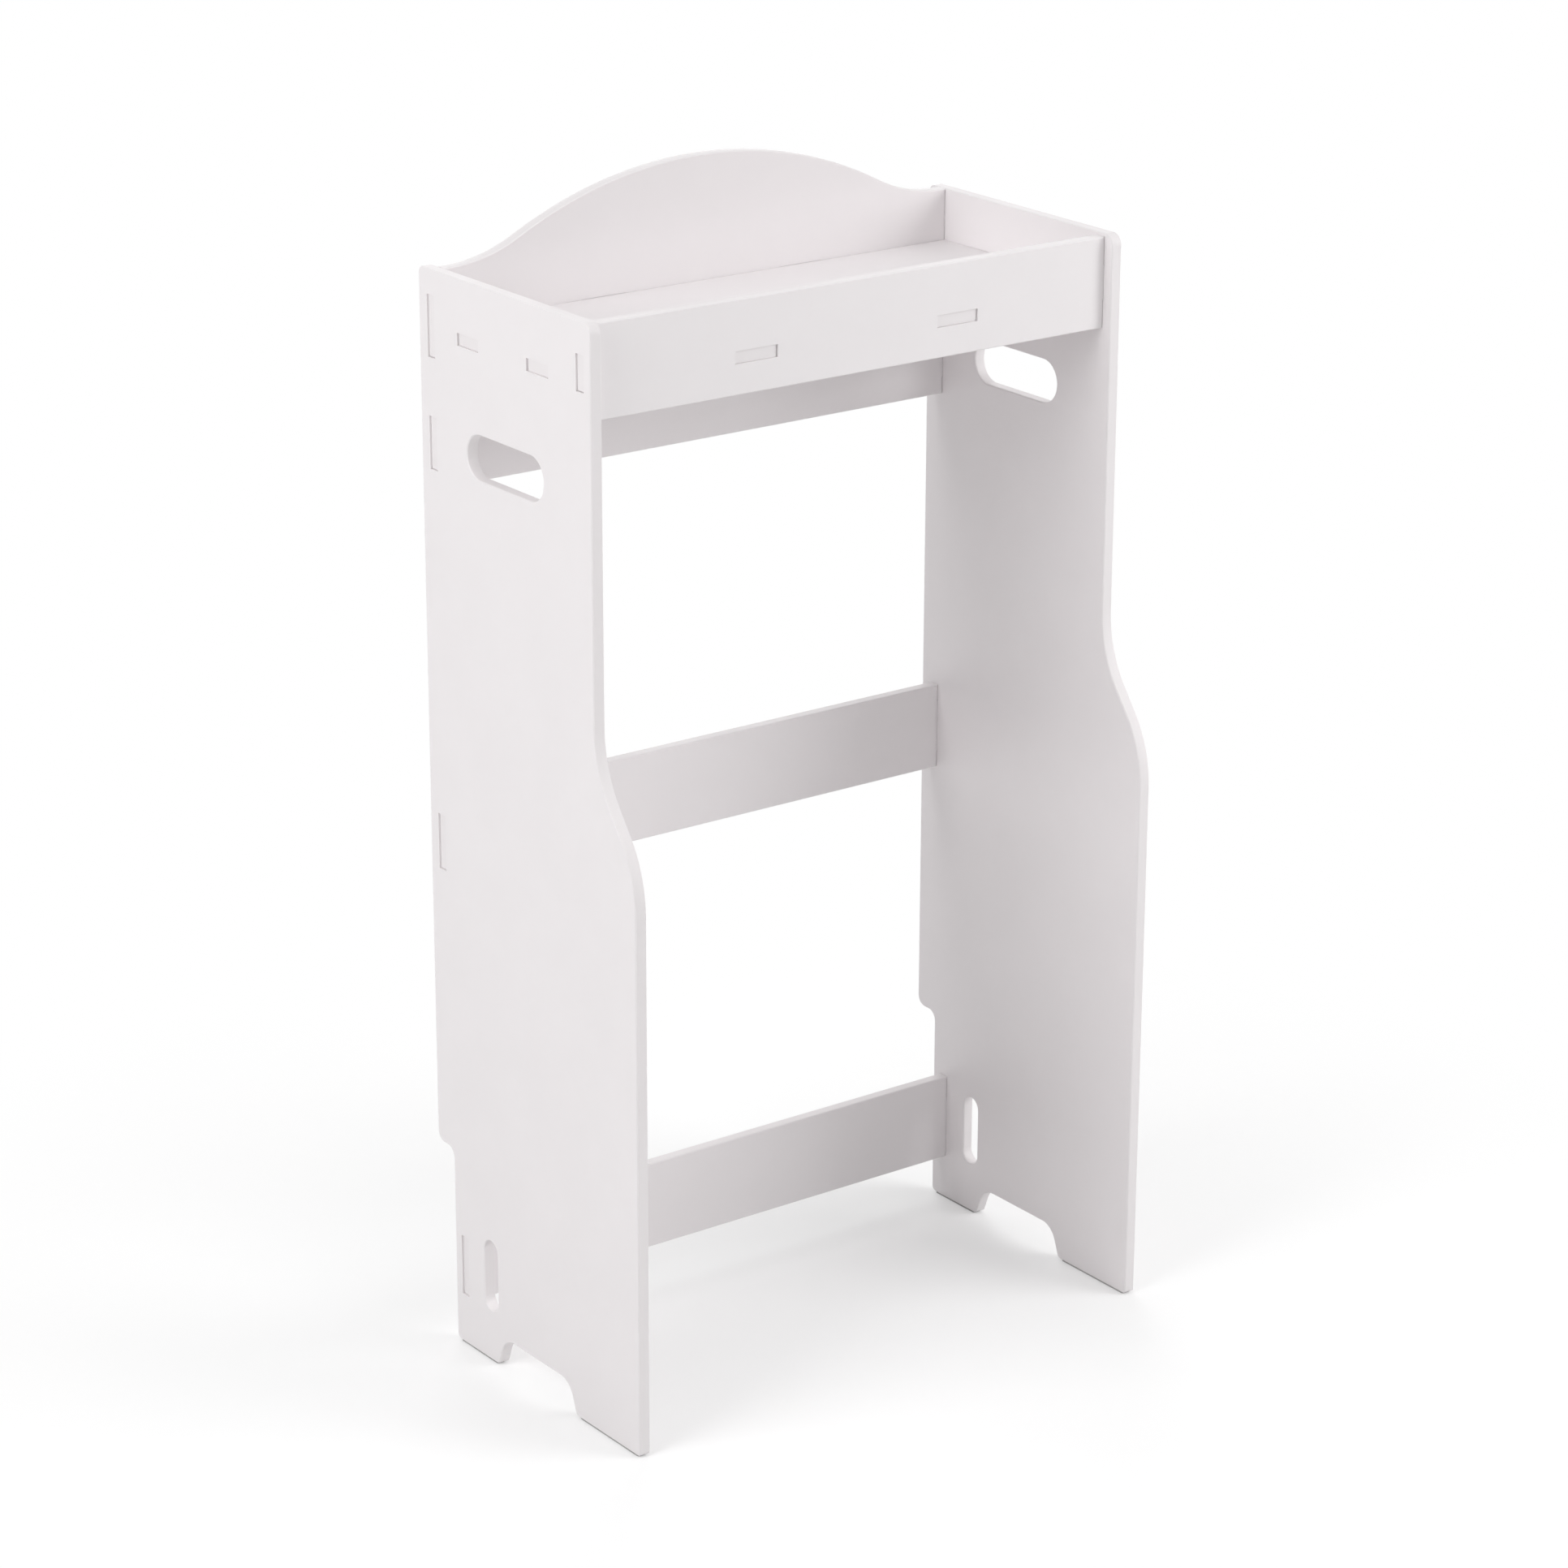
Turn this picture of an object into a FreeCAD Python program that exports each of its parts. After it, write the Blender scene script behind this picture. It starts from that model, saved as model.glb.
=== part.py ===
"""Free-standing bathroom shelf unit: seven interlocking boards on four foot pads.

Millimetres, +Z up. The front faces -Y, the wall is on the +Y side, and the origin lies on the floor
under the middle of the unit. Every board hooks into its neighbours with tabs in slots.
"""

import FreeCAD, Part
import math
import os
from collections import namedtuple
from enum import IntEnum
from types import SimpleNamespace

import Sketcher

# Driving dimensions. "From the wall" is forward of the sides' upper rear edge, a drop is below the
# sides' top edge, and a level is above the sides' underside.
SIZES = {
    # Whole unit
    "overall_width": 508.0,
    "side_height": 900.0,
    "board_thickness": 10.0,
    "edge_chamfer": 0.8,
    # Side outline: depth above and below the front sweep
    "upper_depth": 233.5,
    "lower_depth": 286.5,
    "sweep_level": 484.5,
    "sweep_height": 70.5,
    "sweep_radius": 98.0,
    "corner_radius": 5.0,
    "front_corner_radius": 9.0,
    "toe_radius": 3.0,
    # Side outline: relief that clears the skirting board
    "relief_depth": 23.5,
    "relief_level": 170.0,
    "relief_radius": 9.0,
    # Side outline: feet and the arch between them
    "rear_foot_length": 62.0,
    "front_foot_length": 88.5,
    "arch_height": 26.5,
    "arch_taper": 10.0,
    "arch_radius": 18.0,
    "foot_corner_radius": 4.5,
    # Hand hole and hose slot in each side
    "hand_hole_length": 105.0,
    "hand_hole_height": 36.0,
    "hand_hole_drop": 135.0,
    "hose_slot_length": 62.0,
    "hose_slot_width": 19.0,
    "hose_slot_level": 75.5,
    "hose_slot_from_wall": 76.0,
    # Tabs and slots
    "slot_clearance": 0.15,
    "slot_end_clearance": 0.4,
    "tab_recess": 1.5,
    # Shelf board: tabs into the sides, and cross tabs into the front rail and the back panel
    "shelf_drop": 42.5,
    "shelf_tab_length": 28.5,
    "shelf_rear_tab_from_wall": 68.0,
    "shelf_front_tab_from_wall": 163.0,
    "cross_tab_length": 39.0,
    "cross_tab_offset": 96.5,
    # Front rail
    "front_rail_inset": 9.0,
    "front_rail_drop": 2.5,
    "front_rail_height": 74.0,
    "front_rail_tab_length": 28.0,
    # Back panel with its crown
    "back_inset": 11.5,
    "back_height": 173.5,
    "back_upper_tab_drop": 20.5,
    "back_upper_tab_length": 49.0,
    "back_lower_tab_lift": 14.5,
    "back_lower_tab_length": 42.0,
    "crown_rise": 59.0,
    "crown_shoulder": 4.0,
    "flank_radius": 140.0,
    # Mid rail, in the plane of the back panel
    "mid_rail_level": 396.5,
    "mid_rail_height": 74.0,
    "mid_rail_tab_length": 46.0,
    # Lower rail, set in front of the skirting relief
    "lower_rail_inset": 9.0,
    "lower_rail_level": 39.0,
    "lower_rail_height": 76.0,
    "lower_rail_tab_lift": 4.5,
    "lower_rail_tab_length": 52.0,
    # Foot pads
    "pad_thickness": 1.5,
    "pad_side_margin": 1.0,
    "pad_end_margin": 4.0,
    "pad_corner_radius": 2.0,
}

X_AXIS = FreeCAD.Vector(1, 0, 0)
Y_AXIS = FreeCAD.Vector(0, 1, 0)
Z_AXIS = FreeCAD.Vector(0, 0, 1)
TOLERANCE = 1e-6


class Spot(IntEnum):
    """The point of a curve that a constraint holds."""

    START = 1
    END = 2
    CENTRE = 3


class Axis(IntEnum):
    """An outline's own axes, as constraints number them."""

    ACROSS = -1
    UP = -2


ORIGIN = (Axis.ACROSS, Spot.START)


class Measure:
    """A length together with the formula that gives it from the driving dimensions."""

    def __init__(self, value, formula):
        self.value = value
        self.formula = formula

    def join(self, other, sign, value):
        return Measure(value, "(%s %s %s)" % (self.formula, sign, as_measure(other).formula))

    def __add__(self, other):
        return self.join(other, "+", self.value + as_measure(other).value)

    def __sub__(self, other):
        return self.join(other, "-", self.value - as_measure(other).value)

    def __mul__(self, other):
        return self.join(other, "*", self.value * as_measure(other).value)

    def __truediv__(self, other):
        return self.join(other, "/", self.value / as_measure(other).value)

    def __neg__(self):
        return Measure(-self.value, "(-%s)" % self.formula)


def as_measure(number):
    if isinstance(number, Measure):
        return number
    return Measure(float(number), "%g" % number)


# Document and sheet
doc = FreeCAD.newDocument("bathroom_shelf_unit")
sheet = doc.addObject("Spreadsheet::Sheet", "sizes")
for row, (name, value) in enumerate(SIZES.items(), start=1):
    sheet.set("A%d" % row, name)
    sheet.set("B%d" % row, "%g" % value)
    sheet.setAlias("B%d" % row, name)
doc.recompute()
size = SimpleNamespace(**{name: Measure(float(sheet.get(name)), "sizes." + name) for name in SIZES})
ZERO = Measure(0.0, "0")

# Places that several boards share
half_width = size.overall_width / 2
inner_half_width = half_width - size.board_thickness
tab_tip = half_width - size.tab_recess
wall_line = size.lower_depth / 2
upper_front_edge = wall_line - size.upper_depth
rear_foot_end = size.relief_depth + size.rear_foot_length
front_foot_start = size.lower_depth - size.front_foot_length
shelf_top = size.side_height - size.shelf_drop
shelf_bottom = shelf_top - size.board_thickness

# Upright boards that run across the unit, each with the same tabs at both ends
CrossBoard = namedtuple("CrossBoard", "rear_face level height tabs")
Tab = namedtuple("Tab", "level length")


def centred_tab(level, height, length):
    return Tab(level + (height - length) / 2, length)


front_rail_level = size.side_height - size.front_rail_drop - size.front_rail_height
front_rail = CrossBoard(
    rear_face=upper_front_edge + size.front_rail_inset + size.board_thickness,
    level=front_rail_level,
    height=size.front_rail_height,
    tabs=[centred_tab(front_rail_level, size.front_rail_height, size.front_rail_tab_length)],
)
back_level = size.side_height - size.back_height
back_upper_tab_level = size.side_height - size.back_upper_tab_drop - size.back_upper_tab_length
back_panel = CrossBoard(
    rear_face=wall_line - size.back_inset,
    level=back_level,
    height=size.back_height,
    tabs=[
        Tab(back_upper_tab_level, size.back_upper_tab_length),
        Tab(back_level + size.back_lower_tab_lift, size.back_lower_tab_length),
    ],
)
mid_rail = CrossBoard(
    rear_face=back_panel.rear_face,
    level=size.mid_rail_level,
    height=size.mid_rail_height,
    tabs=[centred_tab(size.mid_rail_level, size.mid_rail_height, size.mid_rail_tab_length)],
)
lower_rail = CrossBoard(
    rear_face=wall_line - size.relief_depth - size.lower_rail_inset,
    level=size.lower_rail_level,
    height=size.lower_rail_height,
    tabs=[Tab(size.lower_rail_level + size.lower_rail_tab_lift, size.lower_rail_tab_length)],
)


# Outlines
Corner = namedtuple("Corner", "across up radius")


def new_body(label):
    body = doc.addObject("PartDesign::Body", label)
    body.Label = label
    return body


def new_sketch(body, name, role):
    """An empty outline on one of the body's own origin planes."""
    sketch = body.newObject("Sketcher::SketchObject", "%s_%s" % (body.Label, name))
    plane = next(feature for feature in body.Origin.OriginFeatures if feature.Role == role)
    sketch.AttachmentSupport = [(plane, "")]
    sketch.MapMode = "FlatFace"
    return sketch


def constrain(sketch, *terms):
    return sketch.addConstraint(Sketcher.Constraint(*terms))


def dimension(sketch, kind, points, measure):
    index = constrain(sketch, kind, *points, measure.value)
    sketch.setExpression("Constraints[%d]" % index, measure.formula)


def pin(sketch, points, measures, kind, align, axis):
    """Dimensions points along one axis; points on the same line are dimensioned once."""
    pinned = {}
    for point, measure in zip(points, measures):
        if measure.formula in pinned:
            constrain(sketch, align, *pinned[measure.formula], *point)
            continue
        pinned[measure.formula] = point
        if measure is ZERO:
            constrain(sketch, "PointOnObject", *point, axis)
        else:
            dimension(sketch, kind, (*ORIGIN, *point), measure)


def arc_about(centre, start, end):
    """The arc that runs anticlockwise about a centre from one point to another."""
    first_spoke = start - centre
    last_spoke = end - centre
    circle = Part.Circle(centre, Z_AXIS, first_spoke.Length)
    first_angle = math.atan2(first_spoke.y, first_spoke.x)
    return Part.ArcOfCircle(circle, first_angle, math.atan2(last_spoke.y, last_spoke.x))


def round_corner(before, corner, after, radius):
    """Where a corner's arc leaves its two edges, and the arc's centre."""
    back = (before - corner).normalize()
    onward = (after - corner).normalize()
    half_angle = back.getAngle(onward) / 2
    run = radius / math.tan(half_angle)
    centre = corner + (back + onward).normalize() * (radius / math.sin(half_angle))
    return corner + back * run, corner + onward * run, centre


def add_corner_arc(sketch, edge_in, edge_out, ends, centre, radius):
    entry, leave = ends
    if (entry - centre).cross(leave - centre).z > 0:
        arc = sketch.addGeometry(arc_about(centre, entry, leave), False)
        near, far = Spot.START, Spot.END
    else:
        arc = sketch.addGeometry(arc_about(centre, leave, entry), False)
        near, far = Spot.END, Spot.START
    constrain(sketch, "Tangent", edge_in, Spot.END, arc, near)
    constrain(sketch, "Tangent", arc, far, edge_out, Spot.START)
    dimension(sketch, "Radius", (arc,), radius)


def draw_outline(sketch, corners):
    """A closed outline with straight edges; a corner that has a radius is rounded by a tangent arc."""
    first = sketch.GeometryCount
    count = len(corners)
    points = [FreeCAD.Vector(corner.across.value, corner.up.value, 0) for corner in corners]
    entries = list(points)
    leaves = list(points)
    centres = {}
    for index, corner in enumerate(corners):
        if corner.radius:
            along = (points[index - 1], points[index], points[(index + 1) % count])
            entries[index], leaves[index], centres[index] = round_corner(*along, corner.radius.value)
    for index in range(count):
        sketch.addGeometry(Part.LineSegment(leaves[index], entries[(index + 1) % count]), False)
    held = []
    for index, corner in enumerate(corners):
        edge_in = first + (index - 1) % count
        edge_out = first + index
        if corner.radius:
            ends = (entries[index], leaves[index])
            add_corner_arc(sketch, edge_in, edge_out, ends, centres[index], corner.radius)
            meeting = sketch.addGeometry(Part.Point(points[index]), True)
            constrain(sketch, "PointOnObject", meeting, Spot.START, edge_in)
            constrain(sketch, "PointOnObject", meeting, Spot.START, edge_out)
            held.append((meeting, Spot.START))
        else:
            constrain(sketch, "Coincident", edge_in, Spot.END, edge_out, Spot.START)
            held.append((edge_out, Spot.START))
    pin(sketch, held, [corner.across for corner in corners], "DistanceX", "Vertical", Axis.UP)
    pin(sketch, held, [corner.up for corner in corners], "DistanceY", "Horizontal", Axis.ACROSS)


def rectangle(left, right, bottom, top, radius=None):
    corners = ((left, bottom), (right, bottom), (right, top), (left, top))
    return [Corner(across, up, radius) for across, up in corners]


def draw_round_ended_slot(sketch, length, width):
    """A slot along the outline's first axis, centred on its origin."""
    radius = width / 2
    reach = (length - width) / 2
    left = FreeCAD.Vector(-reach.value, 0, 0)
    right = FreeCAD.Vector(reach.value, 0, 0)
    rise = FreeCAD.Vector(0, radius.value, 0)
    sketch.addGeometry(Part.LineSegment(left - rise, right - rise), False)
    sketch.addGeometry(arc_about(right, right - rise, right + rise), False)
    sketch.addGeometry(Part.LineSegment(right + rise, left + rise), False)
    sketch.addGeometry(arc_about(left, left + rise, left - rise), False)
    lower, right_end, upper, left_end = range(4)
    for one, other in ((lower, right_end), (right_end, upper), (upper, left_end), (left_end, lower)):
        constrain(sketch, "Tangent", one, Spot.END, other, Spot.START)
    constrain(sketch, "Symmetric", left_end, Spot.CENTRE, right_end, Spot.CENTRE, *ORIGIN)
    constrain(sketch, "Horizontal", lower)
    dimension(sketch, "DistanceX", (left_end, Spot.CENTRE, right_end, Spot.CENTRE), reach * 2)
    dimension(sketch, "Radius", (right_end,), radius)


def move_sketch(sketch, across=ZERO, up=ZERO, out=ZERO, turn_deg=0):
    """Shifts an outline within its plane and out of it, and turns it in its plane."""
    shift = FreeCAD.Vector(across.value, up.value, out.value)
    sketch.AttachmentOffset = FreeCAD.Placement(shift, FreeCAD.Rotation(Z_AXIS, turn_deg))
    for axis, measure in (("x", across), ("y", up), ("z", out)):
        sketch.setExpression("AttachmentOffset.Base.%s" % axis, measure.formula)


def draw_crown(sketch, half, shoulder):
    """The back panel's outline: a crown arc that flows into hollow flanks and short level shoulders."""
    reach = half - size.crown_shoulder
    rise = size.crown_rise
    flank_radius = size.flank_radius
    crown_radius = (reach * reach + rise * rise) / (rise * 2) - flank_radius
    crown_centre = FreeCAD.Vector(0, (shoulder + rise - crown_radius).value, 0)
    right_centre = FreeCAD.Vector(reach.value, (shoulder + flank_radius).value, 0)
    left_centre = FreeCAD.Vector(-right_centre.x, right_centre.y, 0)
    right_blend = crown_centre + (right_centre - crown_centre).normalize() * crown_radius.value
    left_blend = FreeCAD.Vector(-right_blend.x, right_blend.y, 0)
    low_left = FreeCAD.Vector(-half.value, 0, 0)
    low_right = FreeCAD.Vector(half.value, 0, 0)
    high_right = FreeCAD.Vector(half.value, shoulder.value, 0)
    high_left = FreeCAD.Vector(-half.value, shoulder.value, 0)
    right_flat_end = FreeCAD.Vector(reach.value, shoulder.value, 0)
    left_flat_end = FreeCAD.Vector(-reach.value, shoulder.value, 0)
    for curve in (
        Part.LineSegment(low_left, low_right),
        Part.LineSegment(low_right, high_right),
        Part.LineSegment(high_right, right_flat_end),
        arc_about(right_centre, right_blend, right_flat_end),
        arc_about(crown_centre, right_blend, left_blend),
        arc_about(left_centre, left_flat_end, left_blend),
        Part.LineSegment(left_flat_end, high_left),
        Part.LineSegment(high_left, low_left),
    ):
        sketch.addGeometry(curve, False)
    bottom, right, right_flat, right_flank, crown, left_flank, left_flat, left = range(8)
    for terms in (
        ("Coincident", bottom, Spot.END, right, Spot.START),
        ("Coincident", right, Spot.END, right_flat, Spot.START),
        ("Tangent", right_flat, Spot.END, right_flank, Spot.END),
        ("Tangent", right_flank, Spot.START, crown, Spot.START),
        ("Tangent", crown, Spot.END, left_flank, Spot.END),
        ("Tangent", left_flank, Spot.START, left_flat, Spot.START),
        ("Coincident", left_flat, Spot.END, left, Spot.START),
        ("Coincident", left, Spot.END, bottom, Spot.START),
        ("PointOnObject", bottom, Spot.START, Axis.ACROSS),
        ("Symmetric", bottom, Spot.START, bottom, Spot.END, Axis.UP),
        ("Symmetric", right, Spot.END, left, Spot.START, Axis.UP),
        ("Symmetric", right_flat, Spot.END, left_flat, Spot.START, Axis.UP),
        ("Vertical", right),
        ("Horizontal", right_flat),
        ("Equal", right_flank, left_flank),
    ):
        constrain(sketch, *terms)
    dimension(sketch, "DistanceX", (bottom, Spot.START, bottom, Spot.END), half * 2)
    dimension(sketch, "DistanceY", (right, Spot.START, right, Spot.END), shoulder)
    dimension(sketch, "DistanceX", (right_flat, Spot.END, right_flat, Spot.START), size.crown_shoulder)
    dimension(sketch, "Radius", (right_flank,), flank_radius)
    dimension(sketch, "Radius", (crown,), crown_radius)


# Solids
def new_feature(body, kind, name):
    return body.newObject("PartDesign::%s" % kind, "%s_%s" % (body.Label, name))


def pad(body, name, sketch, thickness):
    feature = new_feature(body, "Pad", name)
    feature.Profile = sketch
    feature.setExpression("Length", thickness.formula)
    doc.recompute()


def cut_through(body, name, sketch):
    """Cuts an outline right through the board that stands on the outline's plane."""
    before = body.Shape.Volume
    feature = new_feature(body, "Pocket", name)
    feature.Profile = sketch
    feature.Type = "ThroughAll"
    feature.Reversed = True
    doc.recompute()
    if body.Shape.Volume > before - TOLERANCE:
        raise RuntimeError("%s cuts nothing" % feature.Name)


def ease_edges(body, normal):
    """Takes the sharpness off every edge around a board's two large faces."""
    base = body.Tip
    names = []
    for face in base.Shape.Faces:
        if abs(face.normalAt(0, 0).dot(normal)) < 1 - TOLERANCE:
            continue
        for rim in face.Edges:
            number = next(n for n, edge in enumerate(base.Shape.Edges, start=1) if rim.isSame(edge))
            names.append("Edge%d" % number)
    feature = new_feature(body, "Chamfer", "eased_edges")
    feature.Base = (base, names)
    feature.setExpression("Size", size.edge_chamfer.formula)
    doc.recompute()


def add_tabs(body, name, role, outlines):
    """Tongues that end in tabs, thinner than their slots by the clearance on each face."""
    tongues = new_sketch(body, name + "_outline", role)
    for outline in outlines:
        draw_outline(tongues, outline)
    move_sketch(tongues, out=size.slot_clearance)
    pad(body, name, tongues, size.board_thickness - size.slot_clearance * 2)


def place(body, x=ZERO, y=ZERO, level=ZERO):
    for axis, measure in (("x", x), ("y", y), ("z", level + size.pad_thickness)):
        body.setExpression("Placement.Base.%s" % axis, measure.formula)


def upright_slot(board, tab):
    """A side's slot for one tab of an upright board."""
    gap = size.slot_end_clearance
    front_face = board.rear_face - size.board_thickness
    return rectangle(front_face, board.rear_face, tab.level - gap, tab.level + tab.length + gap)


def level_slot(centre, length, bottom):
    """A slot for one tab of the level shelf."""
    half = length / 2 + size.slot_end_clearance
    return rectangle(centre - half, centre + half, bottom, bottom + size.board_thickness)


def shelf_tab_centres():
    return [wall_line - size.shelf_rear_tab_from_wall, wall_line - size.shelf_front_tab_from_wall]


def cross_tab_centres():
    return [-size.cross_tab_offset, size.cross_tab_offset]


# Boards
def make_side_panel(label, left_face):
    """A side: swept front edge, skirting relief, foot arch, hand hole, hose slot and tab slots."""
    body = new_body(label)
    relief_line = wall_line - size.relief_depth
    arch_rear = wall_line - rear_foot_end
    arch_front = wall_line - front_foot_start
    sweep_end = size.sweep_level + size.sweep_height
    feet = [
        Corner(relief_line, ZERO, size.corner_radius),
        Corner(arch_rear, ZERO, size.foot_corner_radius),
        Corner(arch_rear - size.arch_taper, size.arch_height, size.arch_radius),
        Corner(arch_front + size.arch_taper, size.arch_height, size.arch_radius),
        Corner(arch_front, ZERO, size.foot_corner_radius),
        Corner(-wall_line, ZERO, size.toe_radius),
    ]
    front_and_rear = [
        Corner(-wall_line, size.sweep_level, size.sweep_radius),
        Corner(upper_front_edge, sweep_end, size.sweep_radius),
        Corner(upper_front_edge, size.side_height, size.front_corner_radius),
        Corner(wall_line, size.side_height, size.corner_radius),
        Corner(wall_line, size.relief_level, size.relief_radius),
        Corner(relief_line, size.relief_level, size.relief_radius),
    ]
    outline = new_sketch(body, "outline", "YZ_Plane")
    draw_outline(outline, feet + front_and_rear)
    pad(body, "board", outline, size.board_thickness)
    hand_hole = new_sketch(body, "hand_hole", "YZ_Plane")
    draw_round_ended_slot(hand_hole, size.hand_hole_length, size.hand_hole_height)
    hand_hole_level = size.side_height - size.hand_hole_drop
    move_sketch(hand_hole, wall_line - size.upper_depth / 2, hand_hole_level)
    cut_through(body, "hand_hole_cut", hand_hole)
    hose_slot = new_sketch(body, "hose_slot", "YZ_Plane")
    draw_round_ended_slot(hose_slot, size.hose_slot_length, size.hose_slot_width)
    move_sketch(hose_slot, wall_line - size.hose_slot_from_wall, size.hose_slot_level, turn_deg=90)
    cut_through(body, "hose_slot_cut", hose_slot)
    ease_edges(body, X_AXIS)
    tab_slots = new_sketch(body, "tab_slots", "YZ_Plane")
    for centre in shelf_tab_centres():
        draw_outline(tab_slots, level_slot(centre, size.shelf_tab_length, shelf_bottom))
    for board in (front_rail, back_panel, mid_rail, lower_rail):
        for tab in board.tabs:
            draw_outline(tab_slots, upright_slot(board, tab))
    cut_through(body, "tab_slot_cut", tab_slots)
    place(body, x=left_face)
    return body


def make_cross_board(label, board, draw_shape, holds_shelf):
    """An upright board between the sides, with its tabs and, where it holds the shelf, its slots."""
    body = new_body(label)
    outline = new_sketch(body, "outline", "XZ_Plane")
    draw_shape(outline, inner_half_width, board.height)
    pad(body, "board", outline, size.board_thickness)
    ease_edges(body, Y_AXIS)
    lifts = [(tab.level - board.level, tab.length) for tab in board.tabs]
    tongues = [rectangle(-tab_tip, tab_tip, lift, lift + length) for lift, length in lifts]
    add_tabs(body, "tabs", "XZ_Plane", tongues)
    if holds_shelf:
        shelf_slots = new_sketch(body, "shelf_slots", "XZ_Plane")
        for centre in cross_tab_centres():
            draw_outline(shelf_slots, level_slot(centre, size.cross_tab_length, shelf_bottom - board.level))
        cut_through(body, "shelf_slot_cut", shelf_slots)
    place(body, y=board.rear_face, level=board.level)
    return body


def draw_rail(sketch, half, height):
    draw_outline(sketch, rectangle(-half, half, ZERO, height))


def make_shelf_board(label):
    """The level board: tabs into each side, into the front rail and into the back panel."""
    body = new_body(label)
    rear_edge = back_panel.rear_face - size.board_thickness
    outline = new_sketch(body, "outline", "XY_Plane")
    draw_outline(outline, rectangle(-inner_half_width, inner_half_width, front_rail.rear_face, rear_edge))
    pad(body, "board", outline, size.board_thickness)
    ease_edges(body, Z_AXIS)
    half_tab = size.shelf_tab_length / 2
    side_tongues = [
        rectangle(-tab_tip, tab_tip, mid - half_tab, mid + half_tab) for mid in shelf_tab_centres()
    ]
    add_tabs(body, "side_tabs", "XY_Plane", side_tongues)
    half_cross = size.cross_tab_length / 2
    front_tip = front_rail.rear_face - size.board_thickness + size.tab_recess
    rear_tip = back_panel.rear_face - size.tab_recess
    cross_tongues = [
        rectangle(mid - half_cross, mid + half_cross, front_tip, rear_tip) for mid in cross_tab_centres()
    ]
    add_tabs(body, "cross_tabs", "XY_Plane", cross_tongues)
    place(body, level=shelf_bottom)
    return body


def make_foot_pad(label, centre_x, foot_start, foot_end):
    """A thin non-slip pad under one foot, which starts and ends at given distances from the wall."""
    body = new_body(label)
    half_pad = size.board_thickness / 2 - size.pad_side_margin
    front = wall_line - foot_end + size.pad_end_margin
    rear = wall_line - foot_start - size.pad_end_margin
    outline = new_sketch(body, "outline", "XY_Plane")
    draw_outline(outline, rectangle(-half_pad, half_pad, front, rear, size.pad_corner_radius))
    pad(body, "sheet", outline, size.pad_thickness)
    place(body, x=centre_x, level=-size.pad_thickness)
    return body


def make_all():
    bodies = [
        make_side_panel("left_side_panel", -half_width),
        make_side_panel("right_side_panel", inner_half_width),
        make_shelf_board("shelf_board"),
        make_cross_board("front_rail", front_rail, draw_rail, holds_shelf=True),
        make_cross_board("back_panel", back_panel, draw_crown, holds_shelf=True),
        make_cross_board("mid_rail", mid_rail, draw_rail, holds_shelf=False),
        make_cross_board("lower_rail", lower_rail, draw_rail, holds_shelf=False),
    ]
    side_middle = half_width - size.board_thickness / 2
    for side, centre_x in (("left", -side_middle), ("right", side_middle)):
        bodies.append(make_foot_pad(side + "_rear_foot_pad", centre_x, size.relief_depth, rear_foot_end))
        bodies.append(make_foot_pad(side + "_front_foot_pad", centre_x, front_foot_start, size.lower_depth))
    doc.recompute()
    return bodies


def check(bodies):
    for item in doc.Objects:
        if "Invalid" in item.State or "Error" in item.State:
            raise RuntimeError("%s is in state %s" % (item.Label, item.State))
    for body in bodies:
        if body.Shape.isNull() or not body.Shape.isValid() or len(body.Shape.Solids) != 1:
            raise RuntimeError("%s has no sound solid" % body.Label)


bodies = make_all()
check(bodies)
os.makedirs("parts", exist_ok=True)
for body in bodies:
    body.Shape.exportStep("parts/%s.step" % body.Label)
    print("%s %.1f cm3" % (body.Label, body.Shape.Volume / 1000))
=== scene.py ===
"""Finish, studio and camera for a free-standing bathroom shelf unit of tabbed white boards."""

import math

import bmesh
import bpy
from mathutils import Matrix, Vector


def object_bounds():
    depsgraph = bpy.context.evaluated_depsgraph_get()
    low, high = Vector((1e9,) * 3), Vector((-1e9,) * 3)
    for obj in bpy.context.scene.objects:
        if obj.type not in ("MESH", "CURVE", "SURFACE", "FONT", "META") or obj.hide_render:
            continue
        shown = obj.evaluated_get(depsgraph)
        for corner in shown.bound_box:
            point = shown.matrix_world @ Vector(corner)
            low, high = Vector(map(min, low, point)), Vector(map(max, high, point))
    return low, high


bl_info = {
    "name": "Bathroom Shelf Unit",
    "version": (1, 0, 0),
    "blender": (4, 5, 0),
    "location": "3D View > Sidebar > Shelf Unit",
    "description": "Finishes the boards and pads of a bathroom shelf unit and sets its studio",
    "category": "Object",
}

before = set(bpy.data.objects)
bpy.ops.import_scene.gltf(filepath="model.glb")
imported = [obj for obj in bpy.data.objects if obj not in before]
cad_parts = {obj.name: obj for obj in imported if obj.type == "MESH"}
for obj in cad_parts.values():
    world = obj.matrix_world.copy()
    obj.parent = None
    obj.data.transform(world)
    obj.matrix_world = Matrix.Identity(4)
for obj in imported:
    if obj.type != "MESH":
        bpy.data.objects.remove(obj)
cad_low, cad_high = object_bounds()

MILLIMETRE = 0.001

# Pieces of the unit
SIDE_PANELS = ("left_side_panel", "right_side_panel")
TRAY_UPRIGHTS = ("front_rail", "back_panel")
TRAY_LEVELS = ("shelf_board",)
CROSS_RAILS = ("mid_rail", "lower_rail")
FOOT_PADS = tuple(
    side + "_" + end + "_foot_pad" for side in ("left", "right") for end in ("rear", "front")
)

# Directions through a board's thickness
ACROSS = (1.0, 0.0, 0.0)
FRONT_TO_BACK = (0.0, 1.0, 0.0)
UPWARDS = (0.0, 0.0, 1.0)

WHITE = (1.0, 1.0, 1.0, 1.0)
FULL_RANGE = (0.0, 1.0)

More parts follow.
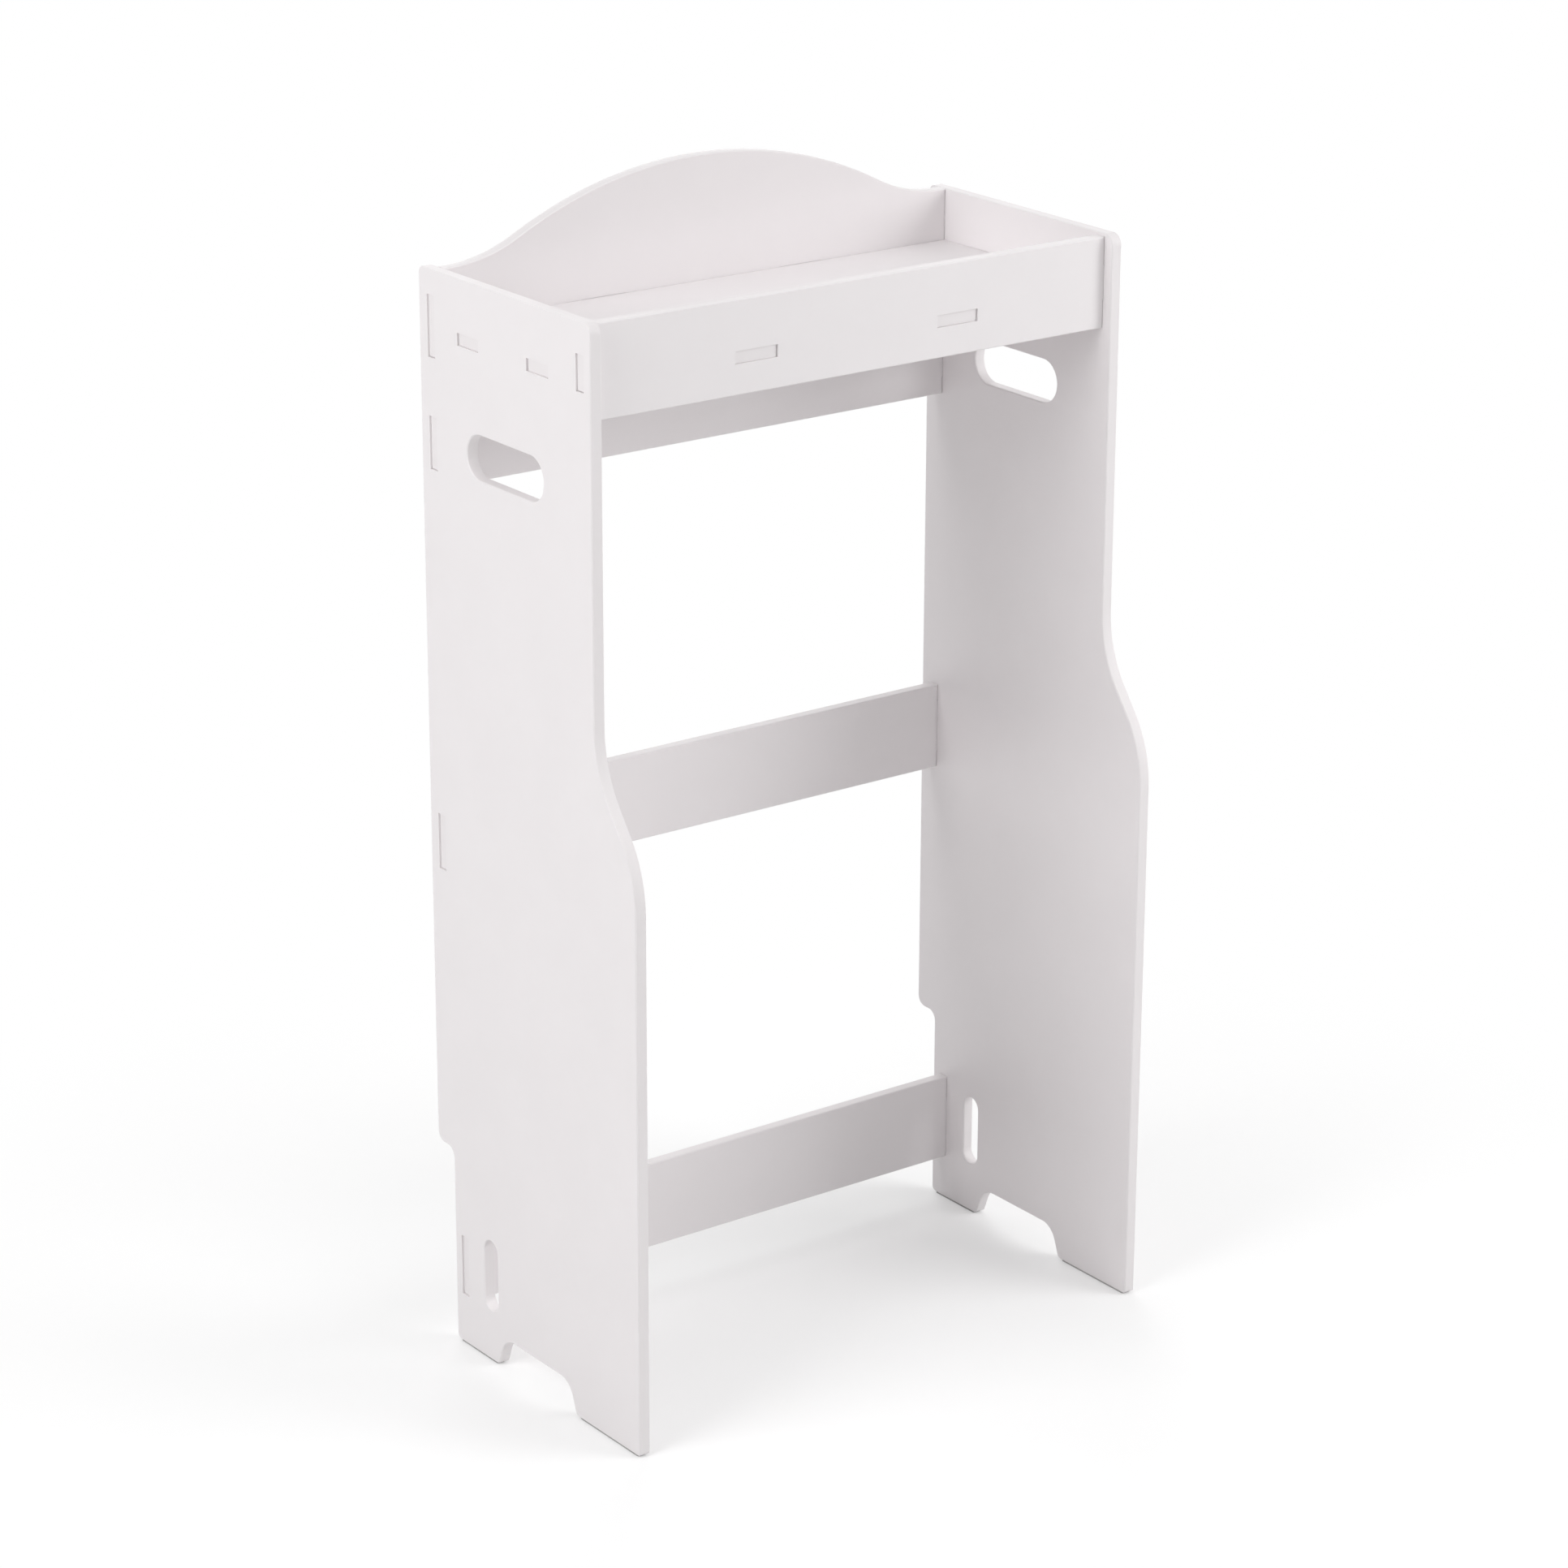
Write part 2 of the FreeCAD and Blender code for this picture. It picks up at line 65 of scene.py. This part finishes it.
# Tone drift: the part of the noise that shows as patches
PATCH_RANGE = (0.3, 0.7)
PATCH_DETAIL = 4.0
PATCH_ROUGHNESS = 0.55

# Fine grain: rounded pebbles with a finer tooth mixed in
PEBBLE_SMOOTHNESS = 0.8
TOOTH_FINENESS = 2.0
TOOTH_DETAIL = 3.0
TOOTH_SHARE = 0.35

# Cut edges: how squarely a face looks along the board's axis where an edge begins, and where it is full
EDGE_FACING = (0.75, 0.35)
MARK_DETAIL = 2.0
MARK_ROUGHNESS = 0.6
MARK_WIDTH_IN_PEBBLES = 2.0

# How far the roughness wanders to each side
BOARD_SHEEN_DRIFT = 0.04
PAD_SHEEN_DRIFT = 0.08

# Rounded edges
RIM_GAP = 0.01 * MILLIMETRE
EDGE_SEGMENTS = 2
SHARP_ANGLE = math.radians(30.0)

# Floor and camera
FLOOR_SEGMENTS = 96
FLOOR_DRIFT = 0.01
FLOOR_DRIFT_SIZE = 0.3
SENSOR_WIDTH_MM = 36.0


# Settings that a user would change
class BoardFinish(bpy.types.PropertyGroup):
    """Paint, skin and edges of the boards."""

    face_color: bpy.props.FloatVectorProperty(
        name="Face Color",
        description="Colour of the boards' large faces",
        subtype="COLOR",
        size=4,
        min=0.0,
        max=1.0,
        default=(0.86, 0.828, 0.836, 1.0),
    )
    edge_color: bpy.props.FloatVectorProperty(
        name="Edge Color",
        description="Colour of the boards' cut edges",
        subtype="COLOR",
        size=4,
        min=0.0,
        max=1.0,
        default=(0.84, 0.808, 0.815, 1.0),
    )
    drift: bpy.props.FloatProperty(
        name="Tone Drift",
        description="How far the paint's tone wanders over a board",
        subtype="FACTOR",
        min=0.0,
        max=0.2,
        default=0.012,
    )
    drift_size: bpy.props.FloatProperty(
        name="Drift Size",
        description="Width of the patches in which the tone wanders",
        unit="LENGTH",
        min=0.001,
        default=0.06,
    )
    grain_size: bpy.props.FloatProperty(
        name="Grain Size",
        description="Width of the fine pebbles in the boards' skin",
        unit="LENGTH",
        min=0.0001,
        default=0.0012,
    )
    grain_depth: bpy.props.FloatProperty(
        name="Grain Depth",
        description="Height of the fine pebbles in the boards' skin",
        unit="LENGTH",
        min=0.0,
        default=0.00002,
    )
    face_roughness: bpy.props.FloatProperty(
        name="Face Roughness",
        description="Roughness of the boards' large faces",
        subtype="FACTOR",
        min=0.0,
        max=1.0,
        default=0.45,
    )
    edge_roughness: bpy.props.FloatProperty(
        name="Edge Roughness",
        description="Roughness of the boards' cut edges",
        subtype="FACTOR",
        min=0.0,
        max=1.0,
        default=0.6,
    )
    edge_round: bpy.props.FloatProperty(
        name="Edge Rounding",
        description="How far the eased edges and the rims of the slots are rounded",
        unit="LENGTH",
        min=0.0,
        default=0.00035,
    )


class PadFinish(bpy.types.PropertyGroup):
    """Rubber of the foot pads. Their grey, darker than the boards, is painted shade: it stands for the
    contact shadow line under each foot.
    """

    # Darker grey than the boards: painted shade that stands for the contact shadow line under each foot
    color: bpy.props.FloatVectorProperty(
        name="Pad Color",
        description="Colour of the foot pads",
        subtype="COLOR",
        size=4,
        min=0.0,
        max=1.0,
        default=(0.48, 0.47, 0.465, 1.0),
    )
    drift: bpy.props.FloatProperty(
        name="Tone Drift",
        description="How far the rubber's tone wanders over a pad",
        subtype="FACTOR",
        min=0.0,
        max=1.0,
        default=0.2,
    )
    drift_size: bpy.props.FloatProperty(
        name="Drift Size",
        description="Width of the patches in which the tone wanders",
        unit="LENGTH",
        min=0.001,
        default=0.01,
    )
    grain_size: bpy.props.FloatProperty(
        name="Grain Size",
        description="Width of the pebbles on the pads",
        unit="LENGTH",
        min=0.0001,
        default=0.0008,
    )
    grain_depth: bpy.props.FloatProperty(
        name="Grain Depth",
        description="Height of the pebbles on the pads",
        unit="LENGTH",
        min=0.0,
        default=0.0001,
    )
    roughness: bpy.props.FloatProperty(
        name="Roughness",
        description="Roughness of the foot pads",
        subtype="FACTOR",
        min=0.0,
        max=1.0,
        default=0.8,
    )
    edge_round: bpy.props.FloatProperty(
        name="Edge Rounding",
        description="How far the pads' edges are rounded",
        unit="LENGTH",
        min=0.0,
        default=0.0002,
    )


class StudioSettings(bpy.types.PropertyGroup):
    """Floor, light and camera."""

    floor_color: bpy.props.FloatVectorProperty(
        name="Floor Color",
        description="Colour of the floor under the object",
        subtype="COLOR",
        size=4,
        min=0.0,
        max=1.0,
        default=(0.77, 0.77, 0.77, 1.0),
    )
    floor_lift: bpy.props.FloatProperty(
        name="Floor Lift",
        description="What the lit floor lacks to look white",
        min=0.0,
        default=0.21,
    )
    fade_start: bpy.props.FloatProperty(
        name="Fade Start",
        description="How far from the middle the floor begins to fade to plain white",
        unit="LENGTH",
        min=0.0,
        default=0.3,
    )
    fade_end: bpy.props.FloatProperty(
        name="Fade End",
        description="How far from the middle the floor is plain white",
        unit="LENGTH",
        min=0.0,
        default=0.95,
    )
    floor_radius: bpy.props.FloatProperty(
        name="Floor Radius",
        description="Radius of the floor",
        unit="LENGTH",
        min=1.0,
        default=15.0,
    )
    sky_zenith: bpy.props.FloatProperty(
        name="Sky Overhead",
        description="Brightness of the even sky light straight above",
        min=0.0,
        default=0.86,
    )
    sky_horizon: bpy.props.FloatProperty(
        name="Sky at Horizon",
        description="Brightness of the even sky light at floor level",
        min=0.0,
        default=0.1,
    )
    left_power: bpy.props.FloatProperty(
        name="Left Lamp Power",
        description="Power of the round soft box on the left",
        unit="POWER",
        min=0.0,
        default=38.0,
    )
    left_place: bpy.props.FloatVectorProperty(
        name="Left Lamp Place",
        description="Where the soft box on the left stands",
        subtype="TRANSLATION",
        unit="LENGTH",
        default=(-2.6, -0.2, 1.95),
    )
    right_power: bpy.props.FloatProperty(
        name="Right Lamp Power",
        description="Power of the round soft box in front, to the right",
        unit="POWER",
        min=0.0,
        default=38.0,
    )
    right_place: bpy.props.FloatVectorProperty(
        name="Right Lamp Place",
        description="Where the soft box in front, to the right, stands",
        subtype="TRANSLATION",
        unit="LENGTH",
        default=(1.85, -2.0, 1.7),
    )
    back_power: bpy.props.FloatProperty(
        name="Back Lamp Power",
        description="Power of the round soft box behind, to the right",
        unit="POWER",
        min=0.0,
        default=24.0,
    )
    back_place: bpy.props.FloatVectorProperty(
        name="Back Lamp Place",
        description="Where the soft box behind, to the right, stands",
        subtype="TRANSLATION",
        unit="LENGTH",
        default=(1.5, 2.6, 1.3),
    )
    lamp_size: bpy.props.FloatProperty(
        name="Lamp Size",
        description="Diameter of the soft boxes",
        unit="LENGTH",
        min=0.1,
        default=2.0,
    )
    camera_place: bpy.props.FloatVectorProperty(
        name="Camera Place",
        description="Where the camera stands",
        subtype="TRANSLATION",
        unit="LENGTH",
        default=(-2.1235, -2.8517, 1.7279),
    )
    camera_turn: bpy.props.FloatVectorProperty(
        name="Camera Turn",
        description="Tilt, roll and heading of the camera",
        subtype="EULER",
        default=(math.radians(70.483), math.radians(-0.559), math.radians(-35.958)),
    )
    camera_lens: bpy.props.FloatProperty(
        name="Camera Lens",
        description="Focal length of the camera on a 36 mm sensor",
        unit="CAMERA",
        min=1.0,
        default=107.66,
    )


# Shader nodes
def find_socket(sockets, key):
    """A node's socket by its number, or the one in use of that name."""
    if isinstance(key, int):
        return sockets[key]
    return next(socket for socket in sockets if socket.name == key and socket.enabled)


def add_node(tree, kind, inputs=None, **settings):
    """A new node whose inputs are constants or other nodes' outputs."""
    node = tree.nodes.new(kind)
    for name, value in settings.items():
        setattr(node, name, value)
    for key, value in (inputs or {}).items():
        socket = find_socket(node.inputs, key)
        if isinstance(value, bpy.types.NodeSocket):
            tree.links.new(value, socket)
        else:
            socket.default_value = value
    return node


def calculate(tree, operation, *operands):
    inputs = dict(enumerate(operands))
    return add_node(tree, "ShaderNodeMath", inputs, operation=operation).outputs["Value"]


def combine_vectors(tree, operation, *operands):
    return add_node(tree, "ShaderNodeVectorMath", dict(enumerate(operands)), operation=operation).outputs


def map_range(tree, value, from_range, to_range, curve="LINEAR"):
    inputs = {
        "Value": value,
        "From Min": from_range[0],
        "From Max": from_range[1],
        "To Min": to_range[0],
        "To Max": to_range[1],
    }
    return add_node(tree, "ShaderNodeMapRange", inputs, interpolation_type=curve).outputs["Result"]


def mix(tree, kind, factor, first, second, **settings):
    inputs = {"Factor": factor, "A": first, "B": second}
    node = add_node(tree, "ShaderNodeMix", inputs, data_type=kind, **settings)
    return find_socket(node.outputs, "Result")


def mix_shaders(tree, factor, first, second):
    return add_node(tree, "ShaderNodeMixShader", {0: factor, 1: first, 2: second}).outputs["Shader"]


def object_position(tree):
    return add_node(tree, "ShaderNodeTexCoord").outputs["Object"]


# Effects that materials share
def build_tone_drift(tree, given):
    """Broad, faint patches of lighter and darker tone."""
    inputs = {
        "Vector": object_position(tree),
        "Scale": calculate(tree, "DIVIDE", 1.0, given["Size"]),
        "Detail": PATCH_DETAIL,
        "Roughness": PATCH_ROUGHNESS,
    }
    noise = add_node(tree, "ShaderNodeTexNoise", inputs)
    patches = map_range(tree, noise.outputs["Fac"], PATCH_RANGE, FULL_RANGE, "SMOOTHSTEP")
    shade = calculate(tree, "MULTIPLY", patches, given["Amount"])
    tone = calculate(tree, "SUBTRACT", 1.0, shade)
    color = mix(tree, "RGBA", 1.0, given["Color"], tone, blend_type="MULTIPLY")
    return {"Color": color, "Patches": patches}


def build_fine_grain(tree, given):
    """Small rounded pebbles with a finer tooth."""
    position = object_position(tree)
    scale = calculate(tree, "DIVIDE", 1.0, given["Size"])
    inputs = {"Vector": position, "Scale": scale, "Smoothness": PEBBLE_SMOOTHNESS}
    pebbles = add_node(tree, "ShaderNodeTexVoronoi", inputs, feature="SMOOTH_F1")
    tooth_scale = calculate(tree, "MULTIPLY", scale, TOOTH_FINENESS)
    inputs = {"Vector": position, "Scale": tooth_scale, "Detail": TOOTH_DETAIL}
    tooth = add_node(tree, "ShaderNodeTexNoise", inputs)
    rounded = calculate(tree, "SUBTRACT", 1.0, pebbles.outputs["Distance"])
    return {"Height": mix(tree, "FLOAT", TOOTH_SHARE, rounded, tooth.outputs["Fac"])}


def build_cut_edge(tree, given):
    """Where a board was cut through, and the fine marks that the cutter left across its thickness."""
    axis = given["Board Axis"]
    surface = add_node(tree, "ShaderNodeTexCoord").outputs
    facing = combine_vectors(tree, "DOT_PRODUCT", surface["Normal"], axis)["Value"]
    squarely = calculate(tree, "ABSOLUTE", facing)
    edge = map_range(tree, squarely, EDGE_FACING, FULL_RANGE, "SMOOTHSTEP")
    through = combine_vectors(tree, "PROJECT", surface["Object"], axis)["Vector"]
    along = combine_vectors(tree, "SUBTRACT", surface["Object"], through)["Vector"]
    inputs = {
        "Vector": along,
        "Scale": calculate(tree, "DIVIDE", 1.0, given["Mark Size"]),
        "Detail": MARK_DETAIL,
        "Roughness": MARK_ROUGHNESS,
    }
    marks = add_node(tree, "ShaderNodeTexNoise", inputs)
    return {"Edge": edge, "Marks": marks.outputs["Fac"]}


# Each shared effect: how it is built, and the kinds of its inputs and outputs
SHARED_EFFECTS = {
    "tone_drift": (
        build_tone_drift,
        {"Color": "Color", "Amount": "Float", "Size": "Float"},
        {"Color": "Color", "Patches": "Float"},
    ),
    "fine_grain": (
        build_fine_grain,
        {"Size": "Float"},
        {"Height": "Float"},
    ),
    "cut_edge": (
        build_cut_edge,
        {"Board Axis": "Vector", "Mark Size": "Float"},
        {"Edge": "Float", "Marks": "Float"},
    ),
}


def shared_group(name):
    """The node group of a shared effect, built at its first use."""
    if name in bpy.data.node_groups:
        return bpy.data.node_groups[name]
    build, inputs, outputs = SHARED_EFFECTS[name]
    group = bpy.data.node_groups.new(name, "ShaderNodeTree")
    for direction, sockets in (("INPUT", inputs), ("OUTPUT", outputs)):
        for socket_name, kind in sockets.items():
            group.interface.new_socket(socket_name, in_out=direction, socket_type="NodeSocket" + kind)
    given = add_node(group, "NodeGroupInput").outputs
    add_node(group, "NodeGroupOutput", build(group, given))
    return group


def add_effect(tree, name, inputs):
    """The outputs of a shared effect that is placed in a material with its own values."""
    return add_node(tree, "ShaderNodeGroup", inputs, node_tree=shared_group(name)).outputs


# Finishes
def emptied_tree(owner):
    owner.use_nodes = True
    owner.node_tree.nodes.clear()
    return owner.node_tree


def new_material(name):
    """A material without nodes, new or emptied, and its node tree."""
    material = bpy.data.materials.get(name) or bpy.data.materials.new(name)
    return material, emptied_tree(material)


def add_surface(tree, color, roughness, height, depth):
    """The finish itself, with its heights as a bump."""
    bump = add_node(tree, "ShaderNodeBump", {"Strength": 1.0, "Distance": depth, "Height": height})
    inputs = {"Base Color": color, "Roughness": roughness, "Normal": bump.outputs["Normal"]}
    shader = add_node(tree, "ShaderNodeBsdfPrincipled", inputs)
    add_node(tree, "ShaderNodeOutputMaterial", {"Surface": shader.outputs["BSDF"]})


def board_material(name, board_axis, finish):
    """Satin white board: faint drift of tone and fine pebbles on its faces, cutter marks on its edges."""
    material, tree = new_material(name)
    tone = {"Color": finish.face_color, "Amount": finish.drift, "Size": finish.drift_size}
    drift = add_effect(tree, "tone_drift", tone)
    grain = add_effect(tree, "fine_grain", {"Size": finish.grain_size})
    mark_size = finish.grain_size * MARK_WIDTH_IN_PEBBLES
    cut = add_effect(tree, "cut_edge", {"Board Axis": board_axis, "Mark Size": mark_size})
    edge = cut["Edge"]
    color = mix(tree, "RGBA", edge, drift["Color"], finish.edge_color)
    roughness = map_range(tree, edge, FULL_RANGE, (finish.face_roughness, finish.edge_roughness))
    sheen = map_range(tree, drift["Patches"], FULL_RANGE, (-BOARD_SHEEN_DRIFT, BOARD_SHEEN_DRIFT))
    height = mix(tree, "FLOAT", edge, grain["Height"], cut["Marks"])
    add_surface(tree, color, calculate(tree, "ADD", roughness, sheen), height, finish.grain_depth)
    return material


def pad_material(finish):
    """Matt rubber sheet with a pebbled surface, in a darker grey that paints the contact shadow under
    each foot.
    """
    material, tree = new_material("foot_pad_rubber_painted_contact_shadow")
    tone = {"Color": finish.color, "Amount": finish.drift, "Size": finish.drift_size}
    drift = add_effect(tree, "tone_drift", tone)
    height = add_effect(tree, "fine_grain", {"Size": finish.grain_size})["Height"]
    roughness_range = (finish.roughness - PAD_SHEEN_DRIFT, finish.roughness + PAD_SHEEN_DRIFT)
    roughness = map_range(tree, height, FULL_RANGE, roughness_range)
    add_surface(tree, drift["Color"], roughness, height, finish.grain_depth)
    return material


def soften_edges(node, width):
    """Joins a piece's faces along their rims and rounds the edges between them."""
    node.modifiers.clear()
    weld = node.modifiers.new("joined_rims", "WELD")
    weld.merge_threshold = RIM_GAP
    bevel = node.modifiers.new("rounded_edges", "BEVEL")
    bevel.width = width
    bevel.segments = EDGE_SEGMENTS
    bevel.limit_method = "ANGLE"
    bevel.angle_limit = SHARP_ANGLE
    bevel.harden_normals = True


def dress(names, material, rounding):
    """Gives pieces of the unit their material and their rounded edges."""
    for name in names:
        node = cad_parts[name]
        node.data.materials.clear()
        node.data.materials.append(material)
        soften_edges(node, rounding)


# Stage
def surface_or_backdrop(tree, surface, backdrop):
    """The backdrop for what the camera, mirrors and glass see, and the surface for all other light."""
    path = add_node(tree, "ShaderNodeLightPath").outputs
    looked_at = calculate(tree, "MAXIMUM", path["Is Camera Ray"], path["Is Glossy Ray"])
    looked_at = calculate(tree, "MAXIMUM", looked_at, path["Is Transmission Ray"])
    return mix_shaders(tree, looked_at, surface, backdrop)


def floor_material(studio):
    """A pale floor that fades to plain white away from the object and keeps the shadow round it."""
    material, tree = new_material("studio_floor")
    tone = {"Color": studio.floor_color, "Amount": FLOOR_DRIFT, "Size": FLOOR_DRIFT_SIZE}
    drift = add_effect(tree, "tone_drift", tone)
    matt = {"Base Color": drift["Color"], "Roughness": 1.0, "Specular IOR Level": 0.0}
    diffuse = add_node(tree, "ShaderNodeBsdfPrincipled", matt).outputs["BSDF"]
    lift = add_node(tree, "ShaderNodeEmission", {"Strength": studio.floor_lift}).outputs["Emission"]
    near = add_node(tree, "ShaderNodeAddShader", {0: diffuse, 1: lift}).outputs["Shader"]
    white = add_node(tree, "ShaderNodeEmission", {"Strength": 1.0}).outputs["Emission"]
    from_middle = combine_vectors(tree, "LENGTH", object_position(tree))["Value"]
    fade = map_range(tree, from_middle, (studio.fade_start, studio.fade_end), FULL_RANGE, "SMOOTHSTEP")
    shown = surface_or_backdrop(tree, diffuse, mix_shaders(tree, fade, near, white))
    add_node(tree, "ShaderNodeOutputMaterial", {"Surface": shown})
    return material


def place_object(name, data):
    """A new object in the scene, instead of an earlier one of that name."""
    if name in bpy.data.objects:
        bpy.data.objects.remove(bpy.data.objects[name])
    item = bpy.data.objects.new(name, data)
    bpy.context.scene.collection.objects.link(item)
    return item


def make_floor(studio):
    mesh = bpy.data.meshes.new("floor")
    shape = bmesh.new()
    bmesh.ops.create_circle(shape, cap_ends=True, segments=FLOOR_SEGMENTS, radius=studio.floor_radius)
    shape.to_mesh(mesh)
    shape.free()
    mesh.materials.append(floor_material(studio))
    floor = place_object("floor", mesh)


def set_sky(studio):
    """Sky light that grows from the horizon to straight above, on a white background."""
    world = bpy.data.worlds.get("studio") or bpy.data.worlds.new("studio")
    tree = emptied_tree(world)
    outwards = add_node(tree, "ShaderNodeTexCoord").outputs["Generated"]
    rise = add_node(tree, "ShaderNodeSeparateXYZ", {"Vector": outwards}).outputs["Z"]
    strength = map_range(tree, rise, FULL_RANGE, (studio.sky_horizon, studio.sky_zenith))
    sky = add_node(tree, "ShaderNodeBackground", {"Color": WHITE, "Strength": strength})
    backdrop = add_node(tree, "ShaderNodeBackground", {"Color": WHITE, "Strength": 1.0})
    shown = surface_or_backdrop(tree, sky.outputs["Background"], backdrop.outputs["Background"])
    add_node(tree, "ShaderNodeOutputWorld", {"Surface": shown})
    bpy.context.scene.world = world


def add_lamp(name, place, power, size):
    """A round soft box that faces the middle of the object."""
    light = bpy.data.lights.new(name, "AREA")
    light.shape = "DISK"
    light.size = size
    light.energy = power
    lamp = place_object(name, light)
    lamp.visible_camera = False
    lamp.location = place
    lamp.rotation_mode = "QUATERNION"
    lamp.rotation_quaternion = (Vector(place) - (cad_low + cad_high) / 2).to_track_quat("Z", "Y")


def add_camera(studio):
    lens = bpy.data.cameras.new("camera")
    lens.lens = studio.camera_lens
    lens.sensor_width = SENSOR_WIDTH_MM
    camera = place_object("camera", lens)
    camera.location = studio.camera_place
    camera.rotation_mode = "YXZ"
    camera.rotation_euler = studio.camera_turn
    bpy.context.scene.camera = camera


# Operators
class SHELFUNIT_OT_dress_side_panels(bpy.types.Operator):
    """Finish the two side panels"""

    bl_idname = "shelf_unit.dress_side_panels"
    bl_label = "Dress Side Panels"

    def execute(self, context):
        finish = context.scene.shelf_unit_boards
        dress(SIDE_PANELS, board_material("side_board_white", ACROSS, finish), finish.edge_round)
        return {"FINISHED"}


class SHELFUNIT_OT_dress_tray(bpy.types.Operator):
    """Finish the tray's shelf, front rail and crowned back panel"""

    bl_idname = "shelf_unit.dress_tray"
    bl_label = "Dress Tray"

    def execute(self, context):
        finish = context.scene.shelf_unit_boards
        level_board = board_material("level_board_white", UPWARDS, finish)
        upright_board = board_material("upright_board_white", FRONT_TO_BACK, finish)
        dress(TRAY_LEVELS, level_board, finish.edge_round)
        dress(TRAY_UPRIGHTS, upright_board, finish.edge_round)
        return {"FINISHED"}


class SHELFUNIT_OT_dress_cross_rails(bpy.types.Operator):
    """Finish the two cross rails behind"""

    bl_idname = "shelf_unit.dress_cross_rails"
    bl_label = "Dress Cross Rails"

    def execute(self, context):
        finish = context.scene.shelf_unit_boards
        dress(CROSS_RAILS, board_material("rail_board_white", FRONT_TO_BACK, finish), finish.edge_round)
        return {"FINISHED"}


class SHELFUNIT_OT_dress_foot_pads(bpy.types.Operator):
    """Finish the four foot pads"""

    bl_idname = "shelf_unit.dress_foot_pads"
    bl_label = "Dress Foot Pads"

    def execute(self, context):
        finish = context.scene.shelf_unit_pads
        dress(FOOT_PADS, pad_material(finish), finish.edge_round)
        return {"FINISHED"}


class SHELFUNIT_OT_set_stage(bpy.types.Operator):
    """Lay the floor, light it and place the camera"""

    bl_idname = "shelf_unit.set_stage"
    bl_label = "Set Stage"

    def execute(self, context):
        studio = context.scene.shelf_unit_studio
        make_floor(studio)
        set_sky(studio)
        add_lamp("left_lamp", studio.left_place, studio.left_power, studio.lamp_size)
        add_lamp("right_lamp", studio.right_place, studio.right_power, studio.lamp_size)
        add_lamp("back_lamp", studio.back_place, studio.back_power, studio.lamp_size)
        add_camera(studio)
        context.scene.view_settings.view_transform = "Standard"
        return {"FINISHED"}


class VIEW3D_PT_shelf_unit(bpy.types.Panel):
    """Sizes, colours and steps of the shelf unit"""

    bl_label = "Shelf Unit"
    bl_space_type = "VIEW_3D"
    bl_region_type = "UI"
    bl_category = "Shelf Unit"

    def draw(self, context):
        for title, settings, steps in PANEL_SECTIONS:
            box = self.layout.box()
            box.label(text=title)
            group = getattr(context.scene, settings)
            for name in type(group).__annotations__:
                box.prop(group, name)
            for step in steps:
                box.operator(step.bl_idname)


PANEL_SECTIONS = (
    (
        "Boards",
        "shelf_unit_boards",
        (SHELFUNIT_OT_dress_side_panels, SHELFUNIT_OT_dress_tray, SHELFUNIT_OT_dress_cross_rails),
    ),
    ("Foot Pads", "shelf_unit_pads", (SHELFUNIT_OT_dress_foot_pads,)),
    ("Studio", "shelf_unit_studio", (SHELFUNIT_OT_set_stage,)),
)
SETTINGS = {
    "shelf_unit_boards": BoardFinish,
    "shelf_unit_pads": PadFinish,
    "shelf_unit_studio": StudioSettings,
}
CLASSES = (
    *SETTINGS.values(),
    SHELFUNIT_OT_dress_side_panels,
    SHELFUNIT_OT_dress_tray,
    SHELFUNIT_OT_dress_cross_rails,
    SHELFUNIT_OT_dress_foot_pads,
    SHELFUNIT_OT_set_stage,
    VIEW3D_PT_shelf_unit,
)


def register():
    for cls in CLASSES:
        bpy.utils.register_class(cls)
    for name, settings in SETTINGS.items():
        setattr(bpy.types.Scene, name, bpy.props.PointerProperty(type=settings))


def unregister():
    for name in SETTINGS:
        delattr(bpy.types.Scene, name)
    for cls in reversed(CLASSES):
        bpy.utils.unregister_class(cls)


def main():
    register()
    bpy.ops.shelf_unit.dress_side_panels()
    bpy.ops.shelf_unit.dress_tray()
    bpy.ops.shelf_unit.dress_cross_rails()
    bpy.ops.shelf_unit.dress_foot_pads()
    bpy.ops.shelf_unit.set_stage()


if __name__ == "__main__":
    main()
